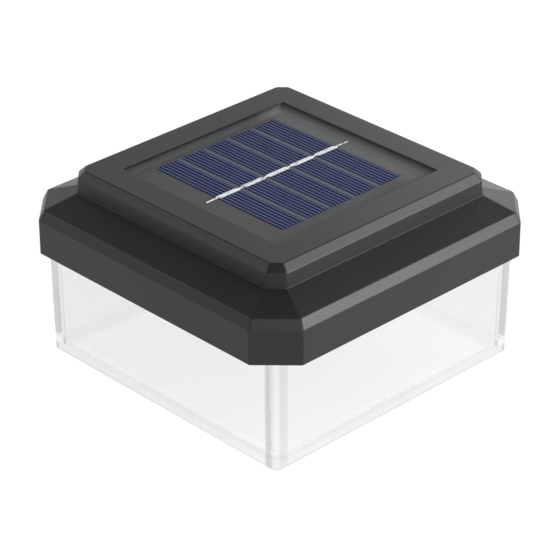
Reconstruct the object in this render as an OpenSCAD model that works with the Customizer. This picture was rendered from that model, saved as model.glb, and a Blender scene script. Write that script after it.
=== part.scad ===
// Solar light that caps a square deck post: a black moulded cap over a clear sleeve.
// Millimetres. The origin is the centre of the sleeve's foot, +Z is up and the front is -Y.

/* [Post] */
// Real width of the square post that carries the light
post_w = 101.6; // [98:0.1:115]
// Play between the post and the opening in the sleeve's foot, on each side
post_play = 0.75; // [0.4:0.05:1.5]

/* [Clear sleeve] */
// Height of sleeve that shows below the cap
sleeve_drop = 42.3; // [30:0.1:70]
// Thickness of the sleeve's walls
sleeve_wall = 2.5; // [1.8:0.1:3.2]
// Width of the rim that turns inward at the foot
rim_w = 3.4; // [2.4:0.1:6]
// Thickness of that rim
rim_t = 2.5; // [1.5:0.1:4]
// Outside corner radius at the foot
sleeve_r = 2.6; // [1.6:0.1:4]
// Inside corner radius at the foot
sleeve_r_in = 4; // [2:0.1:6]
// Draft of the walls in degrees: the sleeve is narrower at its foot
sleeve_draft = 0.75; // [0:0.05:1.2]
// Thickness of the four screwed ears at the top corners
ear_t = 2.5; // [1.8:0.1:3.2]

/* [Cap] */
// How far the skirt stands out beyond the top of the sleeve
skirt_reach = 6.9; // [6:0.1:12]
// Height of the upright skirt
skirt_h = 13.1; // [12:0.1:20]
// Run of the bevel above the skirt
bevel_run = 1.75; // [0.5:0.05:4]
// Rise of the bevel above the skirt
bevel_rise = 3.55; // [2.3:0.05:6]
// Run of the shallow roof
roof_run = 11.4; // [9:0.1:13]
// Rise of the shallow roof
roof_rise = 4.4; // [3:0.1:8]
// Height of the upright wall of the top block
block_h = 5.4; // [4:0.1:12]
// How far that wall leans in
block_lean = 0.35; // [0:0.05:1]
// Bevel at the top of the block
top_bevel = 2.55; // [1.3:0.05:3]
// Length cut off each side at the skirt's corners
corner_cut = 12.4; // [8:0.1:13]
// Radius of the eased edges between the cap's steps
edge_r = 0.8; // [0.3:0.05:1.2]
// Depth taken off the eight upright edges to ease them
upright_ease = 0.12; // [0.04:0.02:0.3]
// Thickness of the cap's walls
cap_wall = 2.2; // [1.6:0.1:3]
// Thickness of the collar around the sleeve and of its gussets
collar_t = 1.6; // [1:0.1:2.2]
// Gussets between the collar and the skirt, on each side
gussets = 5; // [2:1:9]

/* [Solar panel] */
// Width of the square panel board
panel_w = 76.4; // [66:0.1:80]
// Thickness of the panel board
panel_t = 1.2; // [0.8:0.1:2]
// How far the panel's face lies below the cap's top
panel_drop = 1.7; // [0.6:0.1:3]
// Thickness of the foam tape under the panel
tape_t = 0.3; // [0.2:0.05:0.8]
// Width of the tape ring
tape_w = 8; // [4:0.5:14]
// Bare board past the ends of the cell strips
end_margin = 6.9; // [5.5:0.1:14]
// Bare board in front of the strips and behind them
side_margin = 10.05; // [7:0.05:16]
// Space between two strips
cell_gap = 2.2; // [0.5:0.1:2.6]
// Thickness of a cell strip
cell_t = 0.2; // [0.1:0.05:0.3]
// Width of the tinned ribbon
ribbon_w = 2.2; // [1:0.1:4]
// Thickness of the ribbon
ribbon_t = 0.15; // [0.1:0.05:0.25]
// Thickness of the clear film over the cells
film_t = 0.2; // [0.1:0.05:0.3]

/* [Chassis] */
// Thickness of the chassis plate
plate_t = 2; // [1.6:0.1:3]
// Depth of the post stop below that plate
stop_h = 2.6; // [2.4:0.1:4]
// Width of the post stop
stop_w = 3; // [2:0.1:4]
// Thickness of the seal between the chassis and the cap
seal_t = 1.5; // [0.8:0.1:2.5]
// Thickness of the battery bay's walls
bay_wall = 1.6; // [1.2:0.1:2]
// Thickness of the battery door
door_t = 1.8; // [1.4:0.1:2.2]
// Radius of the door's hinge pins
hinge_r = 0.8; // [0.6:0.05:0.9]

/* [Battery] */
// Diameter of the cell
battery_d = 14.2; // [10.3:0.1:14.6]
// Length of the cell with its button
battery_l = 50.4; // [44:0.1:51]
// Length of the spring when the cell is in
spring_l = 5.4; // [3:0.1:8]
// Wire radius of the spring
spring_wire = 0.35; // [0.25:0.05:0.5]

/* [Electronics] */
// Length of the control board
board_l = 40; // [38:0.5:56]
// Width of the control board
board_w = 24; // [20:0.5:28]
// Thickness of the control board
board_t = 1.6; // [0.8:0.1:2]
// Travel of the switch
switch_travel = 2; // [1:0.1:3]
// Diameter of the lamps
led_d = 3; // [2.6:0.1:3.4]
// Radius of a single wire with its insulation
wire_r = 0.6; // [0.4:0.05:0.7]

/* [Screws] */
// Radius of the thread of the four large screws of each kind
screw_r = 1.4; // [1.1:0.05:1.6]
// Radius of the head of the large screws
head_r = 2.75; // [2.3:0.05:3]
// Length of the large screws below the head
screw_l = 12; // [10:0.5:12]
// Radius of the thread of the board screws
small_screw_r = 0.95; // [0.7:0.05:1.1]

/* [Hidden] */
$fn = 48;

// Clearances
running = 0.05;   // a pin in its bore
slip = 0.1;       // a lamp or a screw in its hole
loose = 0.3;      // a piece in its pocket
easy = 0.4;       // a piece that slides or lifts out by hand
touch = 0.05;     // film over ribbon, spring against cell
over = 1;         // how far a cut runs past a face
root = 0.5;       // how far a rib or a post is sunk in the plate that carries it

// Heights are counted from the skirt's edge, which is sleeve_drop above the origin
plate_z = stop_h + 0.4;                     // underside of the chassis plate
plate_top = plate_z + plate_t;
ledge_z = plate_top + seal_t;               // underside of the cap's inner ledge, where the sleeve ends
ledge_t = 2;
ledge_top = ledge_z + ledge_t;
sleeve_h = sleeve_drop + ledge_z;

// Half widths of the sleeve
draft = tan(sleeve_draft);
opening_half = post_w / 2 + post_play;
foot_in_half = opening_half + rim_w;
foot_half = foot_in_half + sleeve_wall;
sleeve_top_half = foot_half + sleeve_h * draft;
pocket_half = sleeve_top_half + loose;
pocket_r = sleeve_r + sleeve_h * draft + loose / 2;

// Half widths and heights of the cap
cap_half = sleeve_top_half + skirt_reach;
bevel_half = cap_half - bevel_run;
bevel_z = skirt_h + bevel_rise;
block_half = bevel_half - roof_run;
roof_z = bevel_z + roof_rise;
block_top_half = block_half - block_lean;
block_z = roof_z + block_h;
top_half = block_top_half - top_bevel;
cap_h = block_z + top_bevel;
edge_steps = 3;
// The corner faces repeat the side faces further out, turned by 45 degrees
corner_shift = (sqrt(2) - 1) * cap_half - corner_cut / sqrt(2);
collar_z = 0.8;                             // foot of the collar
gusset_z = 1.6;                             // foot of its gussets

// Stack of the solar panel, from the cap's top down
film_z = cap_h - panel_drop - film_t;
ribbon_z = film_z - touch - ribbon_t;
cell_z = ribbon_z - cell_t;
panel_z = cell_z - panel_t;
tape_z = panel_z - tape_t;
recess_half = panel_w / 2 + loose / 2;
pan_t = 2;                                  // thickness of the pan under the recess
pan_z = tape_z - pan_t;
tape_inset = 0.5;                           // from the board's edge to the tape's
cells = 5;
cell_l = panel_w - 2 * end_margin;
cell_w = (panel_w - 2 * side_margin - (cells - 1) * cell_gap) / cells;
cell_pitch = cell_w + cell_gap;
cells_x = -1.9;                             // the strips lie a little off the centre
cells_y = 1;
ribbon_x = -2;
ribbon_neck = 0.9;                          // width of the ribbon between two strips
ribbon_tail = 5;                            // length of the ribbon past the strips
lead_hole_r = 3;
lead_hole_y = 18;
lead_x = 1.4;                               // half the spacing of the panel's two wires

// Large screws, their bosses and the sleeve's ears
head_h = 1.8;
boss_r = screw_r + 1.8;
tip_room = 1;                               // depth of a screw's hole past its tip
sleeve_screw_at = opening_half - head_r - 1.3;
ear_reach = 5;                              // from the screw's centre to the ear's inner edge
ear_edge = 2 * sleeve_screw_at - ear_reach * sqrt(2);       // the ears fill x + y beyond this

// Chassis outline: a square with its corners cut off to clear the sleeve's ears
stop_inset = 0.4;
chassis_half = post_w / 2 - stop_inset;
chassis_diag = ear_edge - 2 * loose * sqrt(2);
seal_w = 2.2;
seal_inset = 0.5;
ledge_in_half = chassis_half - seal_inset - seal_w - loose / 2;
upstand_t = 1.2;                            // upstand of the chassis inside the ledge
upstand_h = 4;
chassis_screw_x = ledge_in_half - upstand_t - easy - boss_r;
chassis_screw_y = 24;

// Battery bay, along X
bay_y = -20;
bay_room = 0.5;                             // between the cell and the bay's walls
bay_half = battery_d / 2 + bay_room;
contact_t = 0.5;
contact_gap = 0.1;
contact_w = 0.72 * battery_d;
nub_h = 0.8;                                // nub of the positive plate
nub_r = 1.6;
bay_half_l = (battery_l + spring_l + 2 * (contact_t + contact_gap) + nub_h + 3 * touch) / 2;
door_z = plate_z;                           // the closed door is flush with the plate
door_top = door_z + door_t;
battery_z = door_top + easy + battery_d / 2;
bay_ceiling = battery_z + bay_half;
battery_tip = bay_half_l - contact_gap - contact_t - nub_h - touch;
battery_foot = battery_tip - battery_l;
button_h = 1.3;
door_lap = 1.5;                             // how far the door reaches past the bay's opening
door_half_l = bay_half_l + door_lap;
door_edge = bay_y + bay_half + door_lap;    // the door's free edge
frame_top = door_top + loose + bay_wall;    // the frame that the door closes against
bead_r = 1.2;                               // bead along the door's hinge edge
hinge_y = bay_y - bay_half - bead_r - door_lap + loose;
hinge_z = door_z + bead_r;
hinge_pocket_r = bead_r + loose;
pin_l = 2.3;
pin_cover = 1.2;                            // plastic past the pin's end
frame_half_l = door_half_l + loose + pin_l + pin_cover;
frame_y0 = hinge_y - hinge_pocket_r - bay_wall;
frame_y1 = door_edge + loose + bay_wall;
tongue_half = 5;                            // half width of the door's spring tongue
tongue_l = 8;
tongue_slot = 0.8;                          // width of the slots beside it
scoop_h = 1.2;                              // depth of the finger scoop beside it
scoop_w = 4;
grip_h = 0.7;                               // depth of the finger step in the tongue
grip_w = 3;
tab_rise = 3;                               // solder tabs of the contacts, above the cell's axis
tab_z = battery_z + tab_rise;
tab_l = 3.5;
tab_w = 3;

// Control board
board_y = 19;
board_lift = 4;                             // space for the switch below the board
board_z = plate_top + board_lift;
board_top = board_z + board_t;
post_r = 2.4;                               // posts that carry the board
post_inset = 3;                             // from the board's edges to a post's centre
post_x = board_l / 2 - post_inset;
post_y = board_w / 2 - post_inset;
small_screw_l = 6;
small_head_r = 1.9;
small_head_h = 1.3;
chip_r = 3.6;
chip_h = 1.4;
coil_r = 1.6;
coil_l = 8;
capacitor_r = 2.5;
capacitor_h = 7;
resistor = [1.6, 3.2, 0.8];
switch_size = [8.6, 4.4, 3.6];
switch_x = -8;
switch_y = 24;
stem = 1.6;                                 // width of the knob's stem
stem_in = 1.6;                              // how far the stem reaches into the switch
pad_size = [9, 5, 1.2];
pad_z = plate_z - easy - pad_size[2];
grip_pitch = 2.2;                           // ribs under the knob's pad
grip_r = 0.4;

// Lamps, in the space between the post and the sleeve
led_at = (post_w / 2 + foot_in_half + sleeve_drop * draft) / 2;
led_flange_r = led_d / 2 + 0.4;
led_flange_h = 1;
led_l = 4.4;                                // dome and barrel below the flange
leg_l = 2;
leg_r = 0.25;
leg_x = 0.7;                                // half the spacing of a lamp's two legs
leg_z = ledge_top + led_flange_h + leg_l;

module at_skirt() translate([0, 0, sleeve_drop]) children();
module black() color([0.20, 0.20, 0.21]) children();
module metal() color([0.78, 0.78, 0.76]) children();

// A centred square with round corners
module round_square(half, r) {
    square([2 * half, 2 * (half - r)], center = true);
    square([2 * (half - r), 2 * half], center = true);
    for (x = [-1, 1], y = [-1, 1]) translate([x, y] * (half - r)) circle(r);
}

// A centred square whose corners are cut off where |x| + |y| passes diag
module cut_square(half, diag) {
    k = diag - half;
    polygon([[half, -k], [half, k], [k, half], [-k, half], [-half, k], [-half, -k], [-k, -half], [k, -half]]);
}

// The chassis outline moved inward by t
module chassis_outline(t) cut_square(chassis_half - t, chassis_diag - t * sqrt(2));

module plate(z0, z1) translate([0, 0, z0]) linear_extrude(height = z1 - z0) children();

module hole(z0, z1, r) translate([0, 0, z0]) cylinder(h = z1 - z0, r = r);

module quarters(x, y) for (i = [-1, 1], j = [-1, 1]) translate([i * x, j * y, 0]) children();

// --- cap -------------------------------------------------------------------------------------

// Outline of the cap's side from the skirt's edge to the middle of the top
side_line = [
    [cap_half, 0], [cap_half, skirt_h], [bevel_half, bevel_z], [block_half, roof_z],
    [block_top_half, block_z], [top_half, cap_h], [0, cap_h]
];

function unit(v) = v / norm(v);
function left_of(v) = [-v[1], v[0]];
function turned(v, a) = [v[0] * cos(a) - v[1] * sin(a), v[0] * sin(a) + v[1] * cos(a)];
// Where the line through p along u meets the line through q along v
function meet(p, u, q, v) = p + u * cross(q - p, v) / cross(u, v);

// The side line moved inward by t, with its corners mitred and its foot at the given height
function inner_line(t, foot) = [
    for (i = [0 : len(side_line) - 1])
        let (
            here = side_line[i],
            a = i == 0 ? [0, 1] : unit(here - side_line[i - 1]),
            b = i == len(side_line) - 1 ? [-1, 0] : unit(side_line[i + 1] - here)
        )
        i == 0 ? [here[0] - t, foot]
        : i == len(side_line) - 1 ? [0, here[1] - t]
        : meet(here + t * left_of(a), a, here + t * left_of(b), b)
];

// The side line with an arc of radius edge_r at each of its corners
function eased_line() = [
    side_line[0],
    for (i = [1 : len(side_line) - 2])
        let (
            a = unit(side_line[i] - side_line[i - 1]),
            b = unit(side_line[i + 1] - side_line[i]),
            turn = atan2(cross(a, b), a * b),
            spoke = left_of(a) * edge_r * sign(turn),
            middle = side_line[i] - a * edge_r * tan(abs(turn) / 2) + spoke
        )
        for (k = [0 : edge_steps]) middle - turned(spoke, turn * k / edge_steps),
    side_line[len(side_line) - 1]
];

// A straight bar whose section is the line and its mirror image, its reach grown and then shifted
module bar(line, grow, shift) {
    half = [for (p = line) [p[0] == 0 ? 0 : p[0] * grow + shift, p[1]]];
    rotate([90, 0, 0]) linear_extrude(height = 4 * cap_half, center = true)
        polygon(concat(half, [for (i = [len(half) - 2 : -1 : 0]) [-half[i][0], half[i][1]]]));
}

// The stepped eight-sided form: four bars with that side line, crossed at 45 degrees
module cap_form(line) intersection() {
    bar(line, 1, 0);
    rotate(90) bar(line, 1, 0);
    rotate(45) bar(line, 1, corner_shift);
    rotate(135) bar(line, 1, corner_shift);
}

// The outer skin: the same form with its upright edges eased by four more bars between those
module cap_skin() {
    grow = 1 / cos(22.5);
    intersection() {
        cap_form(eased_line());
        intersection_for (a = [22.5 : 45 : 157.5])
            rotate(a) bar(eased_line(), grow, corner_shift / 2 * grow - upright_ease);
    }
}

module cap_fittings() {
    // collar around the sleeve's top
    plate(collar_z, bevel_z) difference() {
        round_square(pocket_half + collar_t, pocket_r + collar_t);
        round_square(pocket_half, pocket_r);
    }
    // ledge that the sleeve and the chassis seal press against
    plate(ledge_z, ledge_top) difference() {
        square(2 * (pocket_half + collar_t / 2), center = true);
        chassis_outline(chassis_half - ledge_in_half);
    }
    // gussets between the collar and the skirt
    pitch = 2 * pocket_half / (gussets + 1);
    first = -(gussets - 1) / 2 * pitch - collar_t / 2;
    for (a = [0 : 90 : 270], i = [0 : gussets - 1])
        rotate(a) translate([pocket_half + collar_t / 2, first + i * pitch, gusset_z])
            cube([skirt_reach, collar_t, bevel_z]);
    // pan under the panel
    plate(pan_z, cap_h) square(2 * (recess_half + pan_t), center = true);
    // screw bosses
    quarters(chassis_screw_x, chassis_screw_y) plate(plate_top, cap_h) circle(boss_r);
    quarters(sleeve_screw_at, sleeve_screw_at) plate(ledge_z, roof_z) circle(boss_r);
}

module cap_shell() black() at_skirt() difference() {
    union() {
        difference() {
            cap_skin();
            cap_form(inner_line(cap_wall, -over));
        }
        intersection() {
            cap_form(inner_line(cap_wall / 2, 0));
            cap_fittings();
        }
    }
    plate(-over, ledge_z) round_square(pocket_half, pocket_r);
    plate(tape_z, cap_h + over) square(2 * recess_half, center = true);
    translate([0, lead_hole_y, 0]) hole(pan_z - over, tape_z + over, lead_hole_r);
    quarters(chassis_screw_x, chassis_screw_y)
        hole(plate_top - over, plate_z + screw_l + tip_room, screw_r + running);
    quarters(sleeve_screw_at, sleeve_screw_at)
        hole(ledge_z - over, ledge_z - ear_t + screw_l + tip_room, screw_r + running);
    for (a = [0 : 90 : 270]) rotate(a) translate([led_at, 0, 0])
        hole(ledge_z - over, ledge_top + over, led_d / 2 + slip);
}

// --- clear sleeve ----------------------------------------------------------------------------

// A block with drafted sides and round corners; half and r are its sizes at the foot
module drafted_block(half, r, z0, z1) {
    low = half + z0 * draft;
    high = half + z1 * draft;
    for (a = [0, 90]) rotate(a) rotate([90, 0, 0]) linear_extrude(height = 2 * (half - r), center = true)
        polygon([[-low, z0], [low, z0], [high, z1], [-high, z1]]);
    quarters(half - r, half - r)
        translate([0, 0, z0]) cylinder(h = z1 - z0, r1 = r + z0 * draft, r2 = r + z1 * draft);
}

module clear_sleeve() color([0.93, 0.96, 0.98, 0.35]) difference() {
    ear_z = sleeve_h - ear_t;
    ear_end = ear_edge - foot_half;
    union() {
        difference() {
            drafted_block(foot_half, sleeve_r, 0, sleeve_h);
            drafted_block(foot_in_half, sleeve_r_in, rim_t, sleeve_h + over);
            plate(-over, rim_t + over) round_square(opening_half, sleeve_r_in / 2);
        }
        // ears across the top corners
        intersection() {
            drafted_block(foot_half - sleeve_wall / 2, sleeve_r_in, ear_z, sleeve_h);
            for (a = [0 : 90 : 270]) rotate(a) plate(ear_z, sleeve_h)
                polygon([[foot_half, ear_end], [foot_half, foot_half], [ear_end, foot_half]]);
        }
    }
    quarters(sleeve_screw_at, sleeve_screw_at) hole(ear_z - over, sleeve_h + over, screw_r + loose);
}

// --- solar panel -----------------------------------------------------------------------------

module panel_tape() color([0.85, 0.85, 0.82]) at_skirt() plate(tape_z, panel_z) difference() {
    square(panel_w - 2 * tape_inset, center = true);
    square(panel_w - 2 * (tape_inset + tape_w), center = true);
}

module panel_board() color([0.28, 0.28, 0.29]) at_skirt()
    plate(panel_z, cell_z) square(panel_w, center = true);

// Where strip number i lies along Y, counted from the front
function strip_y(i) = (i - (cells + 1) / 2) * cell_pitch;

module cell(i) color([0.13, 0.18, 0.36]) at_skirt() plate(cell_z, cell_z + cell_t)
    translate([cells_x, cells_y + strip_y(i)]) square([cell_l, cell_w], center = true);

module cell_ribbon() metal() at_skirt() plate(ribbon_z, ribbon_z + ribbon_t) translate([ribbon_x, cells_y]) {
    square([ribbon_neck, cells * cell_pitch - cell_gap + 2 * ribbon_tail], center = true);
    for (i = [1 : cells]) translate([0, strip_y(i)]) square([ribbon_w, cell_w], center = true);
}

module panel_film() color([0.9, 0.93, 0.97, 0.2]) at_skirt()
    plate(film_z, film_z + film_t) square(panel_w, center = true);

// --- wires -----------------------------------------------------------------------------------

// A wire's route keeps these shapes wherever its two ends lie
wire_rise = 3;                              // how far it stands up where it is soldered
wire_arch = 4;                              // how high it arches over what it crosses

// A smooth curve through the points, with n steps between each two
function curve(points, n) = [
    for (i = [0 : len(points) - 2], k = [0 : n - 1])
        let (
            p0 = points[max(i - 1, 0)], p1 = points[i], p2 = points[i + 1],
            p3 = points[min(i + 2, len(points) - 1)], t = k / n
        )
        0.5 * (2 * p1 + (p2 - p0) * t + (2 * p0 - 5 * p1 + 4 * p2 - p3) * t * t
            + (3 * p1 - p0 - 3 * p2 + p3) * t * t * t),
    points[len(points) - 1]
];

// The directions of the first and of the last stretch between the points
function end_directions(points) = [
    unit(points[1] - points[0]), unit(points[len(points) - 1] - points[len(points) - 2])
];

function directions(path, ends) = [
    ends[0], for (i = [1 : len(path) - 2]) unit(path[i + 1] - path[i - 1]), ends[1]
];

function square_to(v, t) = unit(v - (v * t) * t);

// A round tube along a path, its ends square to the two given directions. The side vector is carried
// along so that the tube doesn't twist.
module tube(path, ends, r, sides = 8, start = [0.31, 0.83, 0.47]) {
    t = directions(path, ends);
    u = [for (i = 0, v = square_to(start, t[0]); i < len(t); i = i + 1,
        v = square_to(v, t[min(i, len(t) - 1)])) v];
    n = len(path);
    polyhedron(
        points = [for (i = [0 : n - 1], k = [0 : sides - 1])
            path[i] + r * (cos(360 * k / sides) * u[i] + sin(360 * k / sides) * cross(t[i], u[i]))],
        faces = concat(
            [[for (k = [0 : sides - 1]) k]],
            [for (i = [0 : n - 2], k = [0 : sides - 1])
                let (a = i * sides + k, b = i * sides + (k + 1) % sides) [a, a + sides, b + sides, b]],
            [[for (k = [sides - 1 : -1 : 0]) (n - 1) * sides + k]]
        )
    );
}

curve_steps = 3;

module wire(points, r) tube(curve(points, curve_steps), end_directions(points), r);

module panel_leads() color([0.5, 0.1, 0.1]) at_skirt() for (x = [-lead_x, lead_x])
    wire([
        [x, lead_hole_y, panel_z], [x, lead_hole_y, panel_z - wire_rise],
        [x, lead_hole_y - wire_rise / 2, (panel_z + board_top) / 2],
        [x, lead_hole_y, board_top + wire_rise], [x, lead_hole_y, board_top]
    ], wire_r);

// Each wire runs from a contact's solder tab round the end of the bay to the board
module battery_leads() color([0.1, 0.1, 0.1]) at_skirt() {
    end = bay_half_l + bay_wall;
    tab_x = end + tab_l * 0.7;
    front = board_y - board_w * 0.4;
    pad_x = board_l * 0.27;
    for (s = [-1, 1]) wire([
        [s * tab_x, bay_y, tab_z + contact_t], [s * tab_x, bay_y, tab_z + wire_rise],
        [s * (end + wire_rise / 3), bay_y + bay_half + wire_arch, tab_z + wire_rise * 0.7],
        [s * board_l / 2, front, board_top + wire_arch], [s * pad_x, front, board_top + wire_rise / 2],
        [s * pad_x, front, board_top]
    ], wire_r);
}

// Two-core leads from the lamps' legs to the board. The side lamps' leads come in from the board's ends,
// clear of the battery's wires. The front lamp's lead passes round the battery bay and over such a wire.
module led_leads() color([0.16, 0.16, 0.17]) at_skirt() {
    r = 1.3 * wire_r;
    edge = board_l / 2 - wire_rise;
    back = board_y + board_w / 2;
    side = frame_half_l + 2 * r;
    up = leg_z + wire_rise / 2;
    low = ledge_top + wire_rise / 2;
    arch = board_top + wire_arch;
    for (s = [-1, 1]) wire([
        [s * led_at, 0, leg_z], [s * led_at, 0, up],
        [s * (led_at - 2 * wire_rise), wire_rise, up + wire_rise / 3],
        [s * (edge + 2 * wire_arch), board_y, arch],
        [s * edge, board_y, board_top + wire_rise / 2], [s * edge, board_y, board_top]
    ], r);
    wire([
        [0, led_at, leg_z], [0, led_at, up], [wire_rise, led_at - 2 * wire_rise, up + wire_rise / 3],
        [wire_rise, back + wire_rise, arch], [wire_rise, back - wire_rise, board_top + wire_rise / 2],
        [wire_rise, back - wire_rise, board_top]
    ], r);
    wire([
        [0, -led_at, leg_z], [0, -led_at, up], [wire_rise, -led_at + wire_arch, up],
        [side - 3 * wire_arch, -led_at + 3 * wire_arch, low],
        [side, bay_y - 2 * wire_arch, low], [side, bay_y + 2 * wire_arch, low],
        [side - wire_arch, wire_arch, arch + wire_arch / 2],
        [edge - wire_arch, board_y - wire_arch, arch + wire_arch],
        [edge - 2 * wire_rise, board_y, board_top + wire_rise], [edge - 2 * wire_rise, board_y, board_top]
    ], r);
}

// --- chassis ---------------------------------------------------------------------------------

// A box given by its lowest and highest corners
module box(low, high) translate(low) cube(high - low);

module bay_block(grow, z0, z1) box(
    [-bay_half_l - grow, bay_y - bay_half - grow, z0], [bay_half_l + grow, bay_y + bay_half + grow, z1]
);

// A rod along the hinge line
module hinge_rod(half_l, r) translate([0, hinge_y, hinge_z]) rotate([0, 90, 0])
    cylinder(h = 2 * half_l, r = r, center = true);

module chassis_body() {
    plate(plate_z, plate_top) chassis_outline(0);
    // post stop below the plate
    plate(plate_z - stop_h, plate_z + root) difference() {
        chassis_outline(stop_inset);
        chassis_outline(stop_inset + stop_w);
    }
    // upstand that centres the chassis in the ledge
    plate(plate_z + root, plate_top + upstand_h) difference() {
        chassis_outline(chassis_half - ledge_in_half + loose);
        chassis_outline(chassis_half - ledge_in_half + loose + upstand_t);
    }
    // battery bay and the frame round its door
    bay_block(bay_wall, plate_z + root, bay_ceiling + bay_wall);
    box([-frame_half_l, frame_y0, plate_z], [frame_half_l, frame_y1, frame_top]);
    // posts of the control board
    translate([0, board_y, 0]) quarters(post_x, post_y) plate(plate_z + root, board_z) circle(post_r);
}

module chassis() black() at_skirt() difference() {
    pocket_half_l = door_half_l + loose;
    slot_w = stem + 2 * easy;
    scoop_half = tongue_half + 2 * tongue_slot;
    chassis_body();
    bay_block(0, plate_z - over, bay_ceiling);
    // pocket of the door and of its hinge bead
    box([-pocket_half_l, hinge_y, plate_z - over], [pocket_half_l, door_edge + loose, door_top + loose]);
    box([-pocket_half_l, hinge_y - hinge_pocket_r, plate_z - over], [pocket_half_l, hinge_y + over, hinge_z]);
    hinge_rod(pocket_half_l, hinge_pocket_r);
    hinge_rod(pocket_half_l + pin_l, hinge_r + running);
    // scoop for a finger at the door's tongue
    box([-scoop_half, door_edge, plate_z - over], [scoop_half, door_edge + scoop_w, plate_z + scoop_h]);
    // slots for the contacts' solder tabs
    for (s = [-1, 1]) translate([s * (bay_half_l + bay_wall / 2), bay_y, tab_z + contact_t / 2])
        cube([bay_wall + 2 * over, tab_w + loose, contact_t + loose], center = true);
    // slot of the switch
    translate([switch_x, switch_y]) plate(plate_z - over, plate_top + over)
        square([switch_travel + slot_w, slot_w], center = true);
    // screw holes
    quarters(chassis_screw_x, chassis_screw_y) hole(plate_z - over, plate_top + over, screw_r + loose);
    translate([0, board_y, 0]) for (s = [-1, 1]) translate([s * post_x, -s * post_y, 0])
        hole(board_top - small_screw_l - loose, board_z + over, small_screw_r + running);
}

module chassis_seal() color([0.1, 0.1, 0.1]) at_skirt() plate(plate_top, ledge_z) difference() {
    chassis_outline(seal_inset);
    chassis_outline(seal_inset + seal_w);
}

// A screw that stands head down, with a cross recess; its head ends at z = 0
module screw(r, r_head, h_head, l) {
    difference() {
        translate([0, 0, -h_head]) cylinder(h = h_head, r1 = r_head * 0.8, r2 = r_head);
        for (a = [0, 90]) rotate(a) translate([0, 0, -h_head])
            cube([r_head * 1.1, r_head * 0.28, h_head], center = true);
    }
    cylinder(h = l - r, r = r);
    translate([0, 0, l - r]) cylinder(h = r, r1 = r, r2 = r * 0.4);
}

module chassis_screws() metal() at_skirt() quarters(chassis_screw_x, chassis_screw_y)
    translate([0, 0, plate_z]) screw(screw_r, head_r, head_h, screw_l);

module sleeve_screws() metal() at_skirt() quarters(sleeve_screw_at, sleeve_screw_at)
    translate([0, 0, ledge_z - ear_t]) screw(screw_r, head_r, head_h, screw_l);

// --- electronics -----------------------------------------------------------------------------

module control_board() color([0.09, 0.33, 0.17]) at_skirt() difference() {
    translate([0, board_y]) plate(board_z, board_top) square([board_l, board_w], center = true);
    translate([0, board_y, 0]) quarters(post_x, post_y)
        hole(board_z - over, board_top + over, small_screw_r + slip);
}

module board_parts() color([0.12, 0.12, 0.13]) at_skirt() translate([0, board_y, board_top]) {
    // a chip under a low dome of resin
    ball_r = (chip_r * chip_r / chip_h + chip_h) / 2;
    translate([-0.22 * board_l, 0.17 * board_w, 0]) intersection() {
        cylinder(h = chip_h, r = chip_r);
        translate([0, 0, chip_h - ball_r]) sphere(r = ball_r);
    }
    // a coil that lies on its side
    translate([0.22 * board_l, 0.27 * board_w, coil_r]) rotate([0, 90, 0])
        cylinder(h = coil_l, r = coil_r, center = true);
    // a capacitor and two resistors
    translate([-0.05 * board_l, -0.29 * board_w, 0]) cylinder(h = capacitor_h, r = capacitor_r);
    for (x = [0.06, 0.16]) translate([x * board_l, -0.2 * board_w])
        plate(0, resistor[2]) square([resistor[0], resistor[1]], center = true);
}

module board_screws() metal() at_skirt() translate([0, board_y, board_top]) for (s = [-1, 1])
    translate([s * post_x, -s * post_y, 0]) mirror([0, 0, 1])
        screw(small_screw_r, small_head_r, small_head_h, small_screw_l);

module switch_body() color([0.62, 0.62, 0.6]) at_skirt() translate([switch_x, switch_y]) difference() {
    plate(board_z - switch_size[2], board_z) square([switch_size[0], switch_size[1]], center = true);
    plate(board_z - switch_size[2] - over, board_z - switch_size[2] + stem_in + easy)
        square([switch_travel + stem + 2 * loose, stem + 2 * loose], center = true);
}

// Drawn at the off end of its travel
module switch_knob() color([0.14, 0.14, 0.15]) at_skirt() {
    pad_top = pad_z + pad_size[2];
    translate([switch_x - switch_travel / 2, switch_y, 0]) {
        plate(pad_top, board_z - switch_size[2] + stem_in) square(stem, center = true);
        plate(pad_z, pad_top) square([pad_size[0], pad_size[1]], center = true);
        for (i = [-1 : 1]) translate([i * grip_pitch, 0, pad_z])
            rotate([90, 0, 0]) cylinder(h = pad_size[1] - 1, r = grip_r, center = true);
    }
}

// A lamp seated on the ledge, dome down, with its two legs up
module led(a) color([0.95, 0.9, 0.75]) at_skirt() rotate(a) translate([led_at, 0, ledge_top]) {
    cylinder(h = led_flange_h, r = led_flange_r);
    translate([0, 0, led_d / 2 - led_l]) cylinder(h = led_l - led_d / 2, r = led_d / 2);
    translate([0, 0, led_d / 2 - led_l]) sphere(r = led_d / 2);
    for (s = [-1, 1]) translate([0, s * leg_x, led_flange_h]) cylinder(h = leg_l, r = leg_r);
}

// --- battery and its bay ---------------------------------------------------------------------

module battery() color([0.25, 0.45, 0.3]) at_skirt() translate([0, bay_y, battery_z]) rotate([0, 90, 0]) {
    translate([0, 0, battery_foot]) cylinder(h = battery_l - button_h, r = battery_d / 2);
    translate([0, 0, battery_foot]) cylinder(h = battery_l, r = battery_d * 0.19);
}

// Conical spring, its wide end on the plate and its narrow end on the cell
module battery_spring() metal() at_skirt() translate([0, bay_y, battery_z]) {
    turns = 4;
    steps = 14;
    x0 = -bay_half_l + contact_gap + contact_t + spring_wire;
    x1 = battery_foot - touch - spring_wire;
    coil = [for (i = [0 : turns * steps])
        let (t = i / (turns * steps), r = battery_d * (0.36 - 0.16 * t), a = 360 * i / steps)
        [x0 + (x1 - x0) * t, r * cos(a), r * sin(a)]
    ];
    tube(coil, end_directions(coil), spring_wire, 6, [1, 0, 0]);
}

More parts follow.
